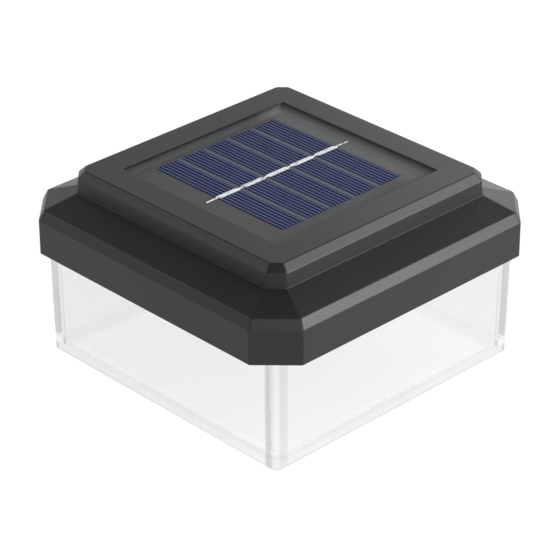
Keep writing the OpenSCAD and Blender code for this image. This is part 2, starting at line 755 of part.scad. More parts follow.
// A contact plate at the bay's end, with its solder tab through the wall; s is the end's side
module contact_plate(s) translate([s * (bay_half_l - contact_gap - contact_t / 2), bay_y, 0]) {
    translate([0, 0, battery_z]) cube([contact_t, contact_w, contact_w], center = true);
    translate([s * (tab_l + bay_wall) / 2, 0, tab_z + contact_t / 2])
        cube([tab_l + bay_wall, tab_w, contact_t], center = true);
}

module negative_plate() metal() at_skirt() contact_plate(-1);

module positive_plate() metal() at_skirt() {
    contact_plate(1);
    translate([bay_half_l - contact_gap - contact_t - nub_h, bay_y, battery_z])
        rotate([0, 90, 0]) cylinder(h = nub_h, r1 = nub_r, r2 = nub_r + nub_h);
}

module battery_door() black() at_skirt() difference() {
    union() {
        box([-door_half_l, hinge_y, door_z], [door_half_l, door_edge, door_top]);
        hinge_rod(door_half_l, bead_r);
        hinge_rod(door_half_l + pin_l, hinge_r);
    }
    // two slots free a spring tongue at the edge, which a finger presses
    for (s = [-1, 1]) translate([s * tongue_half, door_edge - (tongue_l - over) / 2])
        plate(door_z - over, door_top + over) square([tongue_slot, tongue_l + over], center = true);
    grip_half = tongue_half - 2 * tongue_slot;
    box([-grip_half, door_edge - grip_w, door_z - over], [grip_half, door_edge + over, door_z + grip_h]);
}

cap_shell();
clear_sleeve();
panel_tape();
panel_board();
cell(1);  // cell_1
cell(2);  // cell_2
cell(3);  // cell_3
cell(4);  // cell_4
cell(5);  // cell_5
cell_ribbon();
panel_film();
panel_leads();
chassis();
chassis_seal();
chassis_screws();
sleeve_screws();
control_board();
board_parts();
board_screws();
switch_body();
switch_knob();
led(-90);  // led_front
led(0);  // led_right
led(90);  // led_back
led(180);  // led_left
led_leads();
battery();
battery_spring();
negative_plate();
positive_plate();
battery_leads();
battery_door();
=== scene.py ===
# %% [markdown]
# # A solar light that caps a deck post
# The object has a black moulded cap with stepped sides, a small solar panel in its top, and a clear
# moulded sleeve below that goes over the post. Everything is built at its real size in metres, around
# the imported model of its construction, which this lesson calls the frame. The frame says where each
# piece is, so nothing here is fitted by eye.

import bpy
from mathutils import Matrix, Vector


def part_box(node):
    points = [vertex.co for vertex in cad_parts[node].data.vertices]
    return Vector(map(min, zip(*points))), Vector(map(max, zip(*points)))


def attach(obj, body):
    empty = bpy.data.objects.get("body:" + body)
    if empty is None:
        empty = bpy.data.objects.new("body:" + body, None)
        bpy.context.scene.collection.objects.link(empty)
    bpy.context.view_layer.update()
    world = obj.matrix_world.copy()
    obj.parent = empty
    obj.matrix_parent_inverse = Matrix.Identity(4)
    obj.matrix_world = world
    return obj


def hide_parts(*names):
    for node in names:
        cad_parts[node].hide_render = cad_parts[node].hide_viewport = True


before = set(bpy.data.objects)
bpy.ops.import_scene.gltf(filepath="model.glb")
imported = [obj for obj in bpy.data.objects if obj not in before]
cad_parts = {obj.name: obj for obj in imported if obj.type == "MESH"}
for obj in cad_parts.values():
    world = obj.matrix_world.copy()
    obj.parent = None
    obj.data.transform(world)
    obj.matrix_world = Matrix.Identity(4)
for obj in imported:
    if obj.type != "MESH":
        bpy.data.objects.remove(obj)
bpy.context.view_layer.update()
print("nodes in the frame:", len(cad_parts))

# %% Tools of this lesson
import math

import bmesh
import bpy
from mathutils import Matrix, Vector, noise

MM = 0.001

# %% [markdown]
# ## Measures
# Every size starts from the boxes of the frame's nodes. The few that a box can't tell, such as the
# steps of the cap's side, are the maker's own drawing sizes.

# %% Read the boxes
cap_low, cap_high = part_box("cap_shell")
sleeve_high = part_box("clear_sleeve")[1]
board_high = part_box("panel_board")[1]
cap_half = cap_high.x
skirt_z = cap_low.z
print("cap %.1f mm wide, skirt's edge %.1f mm up" % (2 * cap_half / MM, skirt_z / MM))

# %% [markdown]
# ## Camera
# The camera comes first, because it decides how fine each surface has to be. A long lens from far away
# keeps the sides nearly parallel. Its place is given as angles and a distance from the middle of the
# skirt's edge, which is easier to read and to change than three coordinates.

# %% Place the camera
AZIMUTH = math.radians(45.94)
ELEVATION = math.radians(29.187)
ROLL = math.radians(-0.143)
DISTANCE = 14.121 * cap_half
DROP = 0.1974 * cap_half
LENS = 168.59  # in mm, for a sensor as wide as SENSOR
SENSOR = 36
FAR_CLIP = 20  # in metres


def add_camera():
    back = Vector((math.sin(AZIMUTH) * math.cos(ELEVATION), -math.cos(AZIMUTH) * math.cos(ELEVATION),
                   math.sin(ELEVATION)))
    right = Vector((math.cos(AZIMUTH), math.sin(AZIMUTH), 0))
    up = back.cross(right)
    place = Vector((0, 0, skirt_z)) - up * DROP + back * DISTANCE
    rolled = (right * math.cos(ROLL) + up * math.sin(ROLL),
              up * math.cos(ROLL) - right * math.sin(ROLL), back)
    data = bpy.data.cameras.new("camera")
    data.lens = LENS
    data.sensor_width = SENSOR
    data.clip_end = FAR_CLIP
    camera = bpy.data.objects.new("camera", data)
    camera.matrix_world = Matrix.Translation(place) @ Matrix(rolled).transposed().to_4x4()
    bpy.context.scene.collection.objects.link(camera)
    bpy.context.scene.camera = camera
    print("camera at", [round(c, 3) for c in place])


add_camera()
bpy.context.scene.view_settings.view_transform = "Standard"

# %% [markdown]
# ## Sums on sockets
# A material is a small program of nodes. Written out node by node it is long and hard to read, so a
# small class wraps an output socket and gives it Python's own signs: `1 - mask * 0.3` then adds the
# Math nodes by itself. Any other node comes from one method, which takes its type, its settings and
# the values or links of its sockets.

# %% The socket with signs
def feed(tree, socket, value):
    if isinstance(value, Field):
        tree.links.new(value.socket, socket)
    elif value is not None:
        socket.default_value = value


class Field:
    """A value that varies over a surface."""

    def __init__(self, tree, socket):
        self.tree = tree
        self.socket = socket

    def math(self, operation, first, second=None):
        node = self.tree.nodes.new("ShaderNodeMath")
        node.operation = operation
        feed(self.tree, node.inputs[0], first)
        feed(self.tree, node.inputs[1], second)
        return Field(self.tree, node.outputs[0])

    def __add__(self, other):
        return self.math("ADD", self, other)

    def __sub__(self, other):
        return self.math("SUBTRACT", self, other)

    def __rsub__(self, other):
        return self.math("SUBTRACT", other, self)

    def __mul__(self, other):
        return self.math("MULTIPLY", self, other)

    def __truediv__(self, other):
        return self.math("DIVIDE", self, other)

    __radd__ = __add__
    __rmul__ = __mul__

    def smaller(self, other):
        return self.math("MINIMUM", self, other)

    def larger(self, other):
        return self.math("MAXIMUM", self, other)

    def unsigned(self):
        return self.math("ABSOLUTE", self)

    def above(self, limit, soft):
        """0 below the limit and 1 above it, with a soft step."""
        return ((self - limit) / soft + 0.5).larger(0.0).smaller(1.0)

    def wave(self, pitch):
        """A triangle from 0 to 1 and back for each pitch of the value."""
        return self.math("PINGPONG", self / pitch, 0.5) * 2.0


# %% A tree with one short method for any node
class Nodes:
    """The nodes of a material or of the room."""

    def __init__(self, tree):
        self.tree = tree

    def node(self, kind, settings=None, sockets=None, output=0):
        node = self.tree.nodes.new("ShaderNode" + kind)
        for name, value in (settings or {}).items():
            if name == "stops":
                ramp = node.color_ramp.elements
                while len(ramp) < len(value):
                    ramp.new(1.0)
                for element, (position, colour) in zip(ramp, value):
                    element.position = position
                    element.color = colour
            else:
                setattr(node, name, value)
        for name, value in (sockets or {}).items():
            feed(self.tree, node.inputs[name], value)
        return Field(self.tree, node.outputs[output])

    def either(self, factor, first, second):
        """The first shader where the factor is 0, the second where it is 1."""
        return self.node("MixShader", sockets={0: factor, 1: first, 2: second})

    def hand_in(self, **shaders):
        """Link shaders to the sockets of the output node."""
        output = next(node for node in self.tree.nodes if node.type.startswith("OUTPUT"))
        for socket, shader in shaders.items():
            feed(self.tree, output.inputs[socket], shader)


# %% The material
class Surface(Nodes):
    """A material with one Principled shader. Values that are the same all over are set on its sockets."""

    def __init__(self, name, **constants):
        self.material = bpy.data.materials.new(name)
        self.material.use_nodes = True
        super().__init__(self.material.node_tree)
        self.shader = self.tree.nodes["Principled BSDF"]
        for socket, value in constants.items():
            self.shader.inputs[socket.replace("_", " ")].default_value = value

    def place(self):
        return self.node("TexCoord", output="Object")

    def axes(self):
        place = self.place()
        return [self.node("SeparateXYZ", sockets={0: place}, output=i) for i in range(3)]

    def noise(self, scale, detail=3.0, stretch=(1, 1, 1)):
        """Cloudy values about 0.5; scale is in cells a metre."""
        place = self.node("Mapping", sockets={"Vector": self.place(), "Scale": stretch})
        sockets = {"Vector": place, "Scale": scale, "Detail": detail}
        return self.node("TexNoise", sockets=sockets, output="Fac")

    def mix(self, factor, first, second):
        return self.node("Mix", {"data_type": "RGBA"}, {0: factor, 6: first, 7: second}, output=2)

    def bump(self, height, distance, strength):
        return self.node("Bump", sockets={"Height": height, "Distance": distance, "Strength": strength})

    def paint(self, **fields):
        for socket, value in fields.items():
            feed(self.tree, self.shader.inputs[socket.replace("_", " ")], value)
        return self.material


def rgb(red, green, blue):
    """A colour given as it looks on a screen, 0 to 255, turned into light."""
    def light(c):
        c = c / 255
        return c / 12.92 if c <= 0.04045 else ((c + 0.055) / 1.055) ** 2.4
    return (light(red), light(green), light(blue), 1.0)


def grey(light):
    """A colour of even light, 0 to 1."""
    return (light, light, light, 1.0)


WHITE = grey(1.0)


# %% [markdown]
# ## Plastics
# The cap is charcoal plastic from a mould with a fine spark-eroded grain: satin, with a soft sheen that
# runs over the slopes. Two scales of noise vary its colour and its gloss a little, because a moulded
# face is never quite even, and a third, finer than a pixel of the picture, is the grain itself. The
# chassis and the knob come from other moulds, so they share the recipe with other numbers.

# %% Cap and chassis plastic
def moulded_plastic(name, colour, roughness, grain):
    surface = Surface(name, Specular_IOR_Level=0.3)
    cloud = surface.noise(28.0, 4.0)
    fine = surface.noise(900.0, 2.0)
    pale = tuple(1.25 * c for c in colour[:3]) + (1.0,)
    tone = surface.mix(cloud * 0.7 + fine * 0.3, colour, pale)
    height = surface.noise(grain, 2.0)
    return surface.paint(
        Base_Color=tone, Roughness=roughness - 0.05 + cloud * 0.06 + fine * 0.05,
        Normal=surface.bump(height, 0.03 * MM, 0.35))


cap_plastic = moulded_plastic("cap_plastic", rgb(32, 32, 32), 0.36, 2600.0)
chassis_plastic = moulded_plastic("chassis_plastic", rgb(42, 42, 43), 0.5, 1800.0)
knob_plastic = moulded_plastic("switch_plastic", rgb(176, 176, 172), 0.45, 2400.0)
print("plastics:", cap_plastic.name, chassis_plastic.name, knob_plastic.name)

# %% [markdown]
# ## Clear plastic
# The sleeve is polished acrylic. Real refraction makes its look: the round corners squeeze the view
# into dark and light streaks, and the rim at its foot shows through the walls as a pale band. So its
# mesh has a true wall thickness, and its shader passes all light. Three things are added to plain
# glass. A faint smoke in its body dims what crosses much of it. Light that keeps mirroring inside the
# wall is let straight out after two bounces, because following it to the end would only leave black
# specks. And shadow rays pass, so that the lamps reach the pieces inside.

# %% Sleeve and lamp resin
MOST_MIRRORED = 1.5  # between one and two bounces
LET_OUT = grey(0.74)
SMOKE_TINT = grey(0.95)


def clear_plastic(name, colour, smoke, uneven, painted_shade=None):
    surface = Surface(name, Transmission_Weight=1.0, IOR=1.49, Roughness=0.0)
    swell = surface.noise(60.0, 2.0)
    haze = surface.noise(500.0, 3.0)
    tone = surface.mix(haze, colour, grey(0.99))
    if painted_shade:
        # painted shade: where the marks are, the colour of the outer face turns grey
        tone = surface.mix(painted_shade(surface), tone, grey(0.25))
    surface.paint(Base_Color=tone, Normal=surface.bump(swell, uneven, 0.3))
    trapped = surface.node("LightPath", output="Glossy Depth").above(MOST_MIRRORED, 0.1)
    shadow = surface.node("LightPath", output="Is Shadow Ray")
    let_out = surface.node("BsdfTransparent", sockets={"Color": LET_OUT})
    let_by = surface.node("BsdfTransparent", sockets={"Color": WHITE})
    glass = Field(surface.tree, surface.shader.outputs["BSDF"])
    walls = surface.either(trapped, glass, let_out)
    density = smoke / (1 - SMOKE_TINT[0])
    body = surface.node("VolumeAbsorption", sockets={"Color": SMOKE_TINT, "Density": density})
    surface.hand_in(Surface=surface.either(shadow, walls, let_by), Volume=body)
    return surface.material


# %% [markdown]
# ## Painted shade on the sleeve
# The dark streaks and lines that refraction draws in clear plastic are painted into the sleeve's colour
# as shade. Beside the corner that faces the camera two grey streaks run up the walls, and a faint line
# follows the foot, darkest under the two corners that make the picture's outline. These marks lie in
# the outer face only, so they are a mask that is made from the place on the sleeve: how far a point is
# from the corner, and how high above the foot.
# made from the place on the sleeve: how far a point is from the corner, and how high above the foot.

# %% Painted streaks and foot line
DRAFT = math.tan(math.radians(0.75))  # the walls lean out by this much upwards
FOOT_HALF = sleeve_high.x - sleeve_high.z * DRAFT
FACE_DEPTH = 1.0 * MM  # the marks lie no deeper than this
STREAK_NEAR = 1.8 * MM  # the streak's two sides, from the corner
STREAK_FAR = 5.2 * MM
RIGHT_WALL = 55 * MM  # x is more than this on the right wall alone
FOOT_EDGE = 1.1 * MM
FOOT_BAND = 3.2 * MM
MARK_SOFT = 0.8 * MM


def painted_refraction_shade(surface):
    """0 where the sleeve is clear, up to 1 where shade is painted on it."""
    x, y, z = surface.axes()
    outer = z * DRAFT + FOOT_HALF
    from_corner = outer - x.smaller(y * -1.0)
    reach = x.unsigned().larger(y.unsigned())
    outside = (reach - outer).above(-FACE_DEPTH, 0.1 * MM)
    # painted shade: two streaks beside the corner that faces the camera, weaker on the right wall
    painted_streak = from_corner.above(STREAK_NEAR, 0.6 * MM) * (1 - from_corner.above(STREAK_FAR, MARK_SOFT))
    speck = surface.noise(1400.0, 2.0).above(0.5, 0.3)
    painted_streak = painted_streak * (speck * 0.25 + 0.75) * (0.78 - x.above(RIGHT_WALL, MM) * 0.42)
    # painted shade: a band along the foot, darkest under the outline's corners, and a line at its very edge
    painted_foot_band = 1 - z.above(FOOT_BAND, MARK_SOFT)
    painted_outline_shade = (x + y).unsigned().above(2 * FOOT_HALF - FOOT_BAND, MARK_SOFT) * 0.7
    edge = (1 - z.above(FOOT_EDGE, 0.9 * MM)) * 0.4
    foot = edge.larger(painted_foot_band * painted_outline_shade.larger(0.08))
    return outside * painted_streak.larger(foot)


clear_acrylic = clear_plastic("clear_acrylic", (0.97, 0.975, 0.975, 1.0), 11.0, 0.02 * MM, painted_refraction_shade)
lamp_resin = clear_plastic("lamp_resin", (0.95, 0.95, 0.9, 1.0), 10.0, 0.01 * MM)
print("clear:", clear_acrylic.name, lamp_resin.name)

# %% [markdown]
# ## Solar panel
# A strip of silicon looks blue-black, and fine silver fingers run along it. The fingers are a repeated
# line across the strip, so a wave of the Y coordinate makes them. A real strip also has blue patches
# of slightly different crystals, which a slow noise gives. The board is dark laminate, tinted by the
# film's glue around the strips, with painted light that makes it paler towards its back edge, where
# the recess wall casts a shadow. The film is nearly invisible.

# %% Cells, board, ribbon and film
FINGER_PITCH = 1.62 * MM
FINGER_START = 0.1 * FINGER_PITCH
FINGER_W = 0.36  # as a share of the pitch
FINGER_SOFT = 0.3
# painted light: from here the board and the bead are painted paler towards the back, against the recess
# wall's shadow
PAINTED_LIGHT_FROM = 30 * MM  # the panel grows paler towards its back from here
STRIPS = range(1, 6)  # from the front one to the back one


def cell_silicon(strip):
    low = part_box("cell_%d" % strip)[0]
    surface = Surface("solar_cell_%d" % strip, Specular_IOR_Level=0.02)
    _, y, _ = surface.axes()
    wobble = (surface.noise(90.0, 2.0) - 0.5) * (0.25 * MM)
    finger = (y - low.y + wobble + FINGER_START).wave(FINGER_PITCH).above(1 - FINGER_W, FINGER_SOFT)
    crystal = surface.noise(140.0, 3.0, (0.4, 1.0, 1.0))
    blue = surface.mix(crystal, rgb(0, 6, 44), rgb(10, 22, 68))
    tone = surface.mix(finger, blue, rgb(86, 95, 124))
    return surface.paint(
        Base_Color=tone, Roughness=0.45 + finger * 0.1 + crystal * 0.05,
        Normal=surface.bump(finger, 0.01 * MM, 0.5))


def laminate():
    surface = Surface("panel_base", Specular_IOR_Level=0.14)
    speck = surface.noise(1500.0, 2.0)
    cloud = surface.noise(45.0, 3.0)
    x, y, _ = surface.axes()
    low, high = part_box("cell_%d" % STRIPS[0])[0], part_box("cell_%d" % STRIPS[-1])[1]
    field = x.above(low.x, MM) * (1 - x.above(high.x, MM))
    field = field * y.above(low.y, MM) * (1 - y.above(high.y, MM))
    tone = surface.mix(cloud, rgb(64, 64, 65), rgb(74, 75, 76))
    # painted light: paler towards the back edge, where the recess wall casts its shadow
    tone = surface.mix(y.above(PAINTED_LIGHT_FROM, 12 * MM), tone, rgb(96, 97, 98))
    tone = surface.mix(field * 0.7, tone, rgb(80, 90, 106))
    return surface.paint(
        Base_Color=tone, Roughness=0.4 + speck * 0.1, Normal=surface.bump(speck, 0.01 * MM, 0.4))


def tinned(name, roughness, bright):
    surface = Surface(name)
    smear = surface.noise(900.0, 4.0, (1.0, 0.5, 1.0))
    speck = surface.noise(2200.0, 2.0)
    dark = (speck * 0.6 + smear * 0.4).above(0.42, 0.08)
    tone = surface.mix(smear, rgb(bright - 20, bright - 20, bright - 16), rgb(bright, bright, bright))
    tone = surface.mix(dark, rgb(92, 94, 100), tone)
    return surface.paint(
        Base_Color=tone, Roughness=roughness + smear * 0.15, Metallic=0.35 + smear * 0.2,
        Normal=surface.bump(smear + speck * 0.5, 0.12 * MM, 0.8))


def thin_film():
    surface = Surface("clear_film", Specular_IOR_Level=0.5)
    cloud = surface.noise(70.0, 3.0)
    return surface.paint(
        Base_Color=surface.mix(cloud, rgb(140, 142, 146), rgb(170, 172, 176)), Roughness=0.3 + cloud * 0.1,
        Alpha=0.004 + cloud * 0.012, Normal=surface.bump(cloud, 0.02 * MM, 0.3))


panel_base = laminate()
tinned_copper = tinned("tinned_copper", 0.35, 250)
clear_film = thin_film()
print("panel:", panel_base.name, tinned_copper.name, clear_film.name)

# %% [markdown]
# ## Metals, rubber and the parts inside
# The screws, contacts and the switch are plated steel: bright, with fine lines from rolling or turning.
# What is soft or printed is rougher. These show only from below or with the battery door open.

# %% Finishes of the small parts
def plated(name, colour, stretch):
    surface = Surface(name, Metallic=1.0)
    lines = surface.noise(700.0, 3.0, stretch)
    cloud = surface.noise(120.0, 3.0)
    dull = tuple(0.7 * c for c in colour[:3]) + (1.0,)
    return surface.paint(
        Base_Color=surface.mix(cloud, dull, colour), Roughness=0.22 + lines * 0.2,
        Normal=surface.bump(lines, 0.01 * MM, 0.4))


def coated(name, low, high, roughness, scale=150.0, depth=0.02 * MM):
    surface = Surface(name, Specular_IOR_Level=0.5)
    cloud = surface.noise(scale, 4.0)
    fine = surface.noise(10 * scale, 2.0)
    return surface.paint(
        Base_Color=surface.mix(cloud, low, high), Roughness=roughness + fine * 0.12,
        Normal=surface.bump(cloud + fine * 0.5, depth, 0.5))


screw_steel = plated("screw_steel", rgb(205, 203, 196), (1, 1, 1))
contact_steel = plated("contact_steel", rgb(198, 196, 190), (0.2, 1, 1))
switch_metal = plated("switch_metal", rgb(186, 186, 182), (1, 0.3, 1))
foam_tape = coated("foam_tape", rgb(196, 196, 190), rgb(216, 216, 210), 0.8)
seal_rubber = coated("seal_rubber", rgb(26, 26, 26), rgb(38, 38, 38), 0.65)
circuit_lacquer = coated("circuit_board", rgb(18, 84, 40), rgb(28, 104, 52), 0.3)
dark_resin = coated("board_parts", rgb(24, 24, 25), rgb(36, 36, 37), 0.35)
battery_wrap = coated("battery_sleeve", rgb(46, 104, 62), rgb(56, 120, 72), 0.28, 80.0, 0.01 * MM)
wire_red = coated("wire_red", rgb(150, 30, 28), rgb(170, 40, 36), 0.4)
wire_black = coated("wire_black", rgb(28, 28, 28), rgb(40, 40, 40), 0.4)
phosphor = coated("lamp_phosphor", rgb(232, 206, 88), rgb(240, 216, 110), 0.6)
print("small finishes:", len(bpy.data.materials), "materials so far")

# %% [markdown]
# ## Building solids
# Most pieces here are lofts: rings with the same number of points, laid one above the other and joined
# by four-sided faces. Such a mesh is even and takes light cleanly. Where two forms cross, such as a
# boss inside the cap, an exact boolean joins them, so no face is left inside the plastic.

# %% Loft, block and boolean
HAIR = 0.02 * MM  # keeps two faces from lying in one plane


def loft(rings, loop=False):
    """A skin over rings of points. It ends in flat faces, or joins its last ring to its first."""
    shape = bmesh.new()
    grid = [[shape.verts.new(point) for point in ring] for ring in rings]
    for low, high in zip(grid, grid[1:] + grid[:1] if loop else grid[1:]):
        for i, point in enumerate(low):
            j = (i + 1) % len(low)
            shape.faces.new((point, low[j], high[j], high[i]))
    if not loop:
        shape.faces.new(grid[0])
        shape.faces.new(grid[-1])
    bmesh.ops.recalc_face_normals(shape, faces=shape.faces)
    return shape


def block(low, high):
    """A box from its lowest to its highest corner."""
    corners = ((low[0], low[1]), (high[0], low[1]), (high[0], high[1]), (low[0], high[1]))
    return loft([[Vector((x, y, z)) for x, y in corners] for z in (low[2], high[2])])


def revolve(line, steps=32):
    """A solid turned about Z; line has pairs of radius and height, and its two ends are flat."""
    return loft([[Vector((r * math.cos(a), r * math.sin(a), z)) for a in turn(steps)] for r, z in line])


def turn(steps):
    return [2 * math.pi * i / steps for i in range(steps)]


def moved(shape, place, spin=0.0):
    shape.transform(Matrix.Translation(place) @ Matrix.Rotation(spin, 4, "Z"))
    return shape


def joined(shapes):
    """One mesh that holds all of these, which don't have to touch."""
    total = bmesh.new()
    for shape in shapes:
        mesh = bpy.data.meshes.new("part")
        shape.to_mesh(mesh)
        shape.free()
        total.from_mesh(mesh)
        bpy.data.meshes.remove(mesh)
    return total


def as_object(name, shape):
    mesh = bpy.data.meshes.new(name)
    shape.to_mesh(mesh)
    shape.free()
    made = bpy.data.objects.new(name, mesh)
    bpy.context.scene.collection.objects.link(made)
    return made


def carve(base, operation, tool):
    """base with the solid tool cut away (DIFFERENCE), added (UNION) or kept in common (INTERSECT)."""
    held = [as_object("base", base), as_object("tool", tool)]
    change = held[0].modifiers.new("carve", "BOOLEAN")
    change.operation = operation
    change.object = held[1]
    change.solver = "EXACT"
    change.use_self = True
    carved = held[0].evaluated_get(bpy.context.evaluated_depsgraph_get())
    result = bmesh.new()
    result.from_mesh(carved.to_mesh())
    for made in held:
        mesh = made.data
        bpy.data.objects.remove(made)
        bpy.data.meshes.remove(mesh)
    return result


# %% Finish a piece
def piece(name, shape, material, stands_for=(), body="light", angle=35.0):
    bmesh.ops.remove_doubles(shape, verts=shape.verts, dist=0.0005 * MM)
    made = as_object(name, shape)
    made.data.polygons.foreach_set("use_smooth", [True] * len(made.data.polygons))
    made.data.set_sharp_from_angle(angle=math.radians(angle))
    made.modifiers.new("even", "WEIGHTED_NORMAL").keep_sharp = True
    made.data.materials.append(material)
    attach(made, body)
    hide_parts(*stands_for)
    print("%s: %d faces" % (name, len(made.data.polygons)))
    return made


def dress(node, material):
    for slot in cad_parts[node].material_slots:
        slot.material = material


# %% [markdown]
# ## The cap's outline
# The side of the cap is one line: upright skirt, steep bevel, shallow roof, upright wall, bevel, flat
# top. The four corner faces repeat that line a little further out, so each level of the cap is an
# eight-sided ring, and the corner faces grow narrower towards the top. Every edge is eased by a small
# arc, because a sharp edge would show no highlight. Only the crease where the wall stands on the roof
# is nearly sharp.

# %% The side line and its eased edges
# run and rise of the bevel, the roof, the wall and the top bevel, in mm
STEPS = ((1.75, 3.55), (11.4, 4.4), (0.35, 5.4), (2.55, 2.55))
CORNER_CUT = 12.4 * MM  # off each corner of the skirt, along both sides
EDGE_R = 0.8 * MM
CREASE_R = 0.2 * MM
UPRIGHT_R = 1.4 * MM  # the edges between side and corner faces
EASE_STEPS = 5
corner_shift = (math.sqrt(2) - 1) * cap_half - CORNER_CUT / math.sqrt(2)


def cap_side():
    rise = sum(step[1] for step in STEPS) * MM
    line = [Vector((cap_half, skirt_z)), Vector((cap_half, cap_high.z - rise))]
    for run, up in STEPS:
        line.append(line[-1] + Vector((-run, up)) * MM)
    return line + [Vector((0, cap_high.z))]


def eased(line, radius):
    """The line with an arc at each of its inner corners."""
    points = [line[0]]
    for before, corner, after in zip(line, line[1:], line[2:]):
        a = (corner - before).normalized()
        b = (after - corner).normalized()
        bend = math.atan2(a.cross(b), a.dot(b))
        r = radius if bend > 0 else CREASE_R
        spoke = Vector((-a.y, a.x)) * math.copysign(r, bend)
        middle = corner - a * r * math.tan(abs(bend) / 2) + spoke
        for k in range(EASE_STEPS + 1):
            points.append(middle - Matrix.Rotation(bend * k / EASE_STEPS, 2) @ spoke)
    return points + [line[-1]]


def inset(line, depth):
    """The line moved inward, its corners mitred; its last point is left off."""
    moved_in = []
    for i, here in enumerate(line[:-1]):
        a = (here - line[i - 1]).normalized() if i else Vector((0, 1))
        b = (line[i + 1] - here).normalized()
        p = here + Vector((-a.y, a.x)) * depth
        q = here + Vector((-b.y, b.x)) * depth
        moved_in.append(p if a.cross(b) == 0 else p + a * ((q - p).cross(b) / a.cross(b)))
    return moved_in


side = cap_side()
print("the side line has %d corners" % (len(side) - 2))


# %% Rings of eight sides and of four
def octagon(reach, z, radius, steps=4):
    """A ring with side faces at reach and corner faces corner_shift further out."""
    ring = []
    for k in range(8):
        near = reach + (k % 2) * corner_shift - radius
        far = reach + ((k + 1) % 2) * corner_shift - radius
        a = math.pi / 4 * k
        along = (far - near * math.cos(math.pi / 4)) / math.sin(math.pi / 4)
        centre = Vector((math.cos(a), math.sin(a))) * near + Vector((-math.sin(a), math.cos(a))) * along
        for i in range(steps + 1):
            b = a + math.pi / 4 * i / steps
            ring.append(Vector((centre.x + radius * math.cos(b), centre.y + radius * math.sin(b), z)))
    return ring


CORNER_STEPS = 9


def rounded_square(half, z, radius):
    ring = []
    for k in range(4):
        for i in range(CORNER_STEPS + 1):
            b = math.pi / 2 * (k + i / CORNER_STEPS)
            x = math.copysign(half - radius, (1, -1, -1, 1)[k]) + radius * math.cos(b)
            y = math.copysign(half - radius, (1, 1, -1, -1)[k]) + radius * math.sin(b)
            ring.append(Vector((x, y, z)))
    return ring


# %% [markdown]
# ## The cap
# The mould makes it in one piece: a thin shell, and inside it a collar around the sleeve with gussets
# out to the skirt, a ledge that the sleeve's top meets, a pan under the solar panel and the screw
# bosses. The outside is one loft down into the recess. The inside is cut out of it, and the fittings
# are joined on, kept within the middle of the wall so that none shows outside.

# %% Sizes of the cap and of what it meets
LOOSE = 0.3 * MM  # room around a piece in its pocket
CAP_WALL = 2.2 * MM
LEDGE_T = 2 * MM
LEDGE_IN = 47.55 * MM  # the ledge's inner edge, from the middle
PAN_T = 2 * MM
COLLAR_T = 1.6 * MM
COLLAR_LIFT = 0.8 * MM  # above the skirt's edge
GUSSETS = 5
GUSSET_LIFT = 1.6 * MM
RECESS_R = 0.6 * MM
BOSS_R = 3.2 * MM
BOSS_DROP = 1.5 * MM  # the chassis's bosses reach below the ledge
SLEEVE_R = 2.6 * MM  # the sleeve's corners outside, at the foot
SLEEVE_R_TOP = SLEEVE_R + sleeve_high.z * DRAFT
pocket_half = sleeve_high.x + LOOSE
pocket_r = SLEEVE_R_TOP + LOOSE / 2
ledge_z = sleeve_high.z
recess_half = board_high.x + LOOSE / 2
tape_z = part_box("panel_tape")[0].z
chassis_screw = Vector((42.75, 24)) * MM
sleeve_screw = Vector((47.5, 47.5)) * MM
lamp_low, lamp_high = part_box("led_right")
lamp_out = lamp_low.lerp(lamp_high, 0.5).x
print("pocket for the sleeve: half width %.2f mm" % (pocket_half / MM))


# %% Skin and hollow
def cap_skin():
    """Up the outside from the skirt's edge, over the top and down the recess to its floor."""
    foot = 0.35 * MM
    lip = 0.3 * MM
    part_lip = lip * 0.3
    outside = [Vector((cap_half, skirt_z + foot))] + eased(side, EDGE_R)[1:-1]
    rings = [octagon(cap_half - foot, skirt_z, UPRIGHT_R - foot)]
    rings += [octagon(p.x, p.y, UPRIGHT_R) for p in outside]
    rings += [rounded_square(recess_half + lip, cap_high.z, RECESS_R + lip),
              rounded_square(recess_half + part_lip, cap_high.z - part_lip, RECESS_R + part_lip),
              rounded_square(recess_half, cap_high.z - lip, RECESS_R),
              rounded_square(recess_half, tape_z, RECESS_R)]
    return loft(rings)


def form_inside(depth, foot):
    """What the cap's side holds at this depth below its skin, down to the height of foot."""
    line = inset(side, depth)
    line[0] = Vector((line[0].x, foot))
    return loft([octagon(p.x, p.y, 0.2 * MM) for p in line])


# %% Fittings inside the cap
def square_ring(outer, r_outer, inner, r_inner, low, high):
    return loft([rounded_square(outer, low, r_outer), rounded_square(outer, high, r_outer),
                 rounded_square(inner, high, r_inner), rounded_square(inner, low, r_inner)], loop=True)


def rod(place, low, high, radius, steps=32):
    return moved(revolve([(radius, low), (radius, high)], steps), Vector((place[0], place[1], 0)))


def quarters(place):
    return [(i * place[0], j * place[1]) for i in (-1, 1) for j in (-1, 1)]


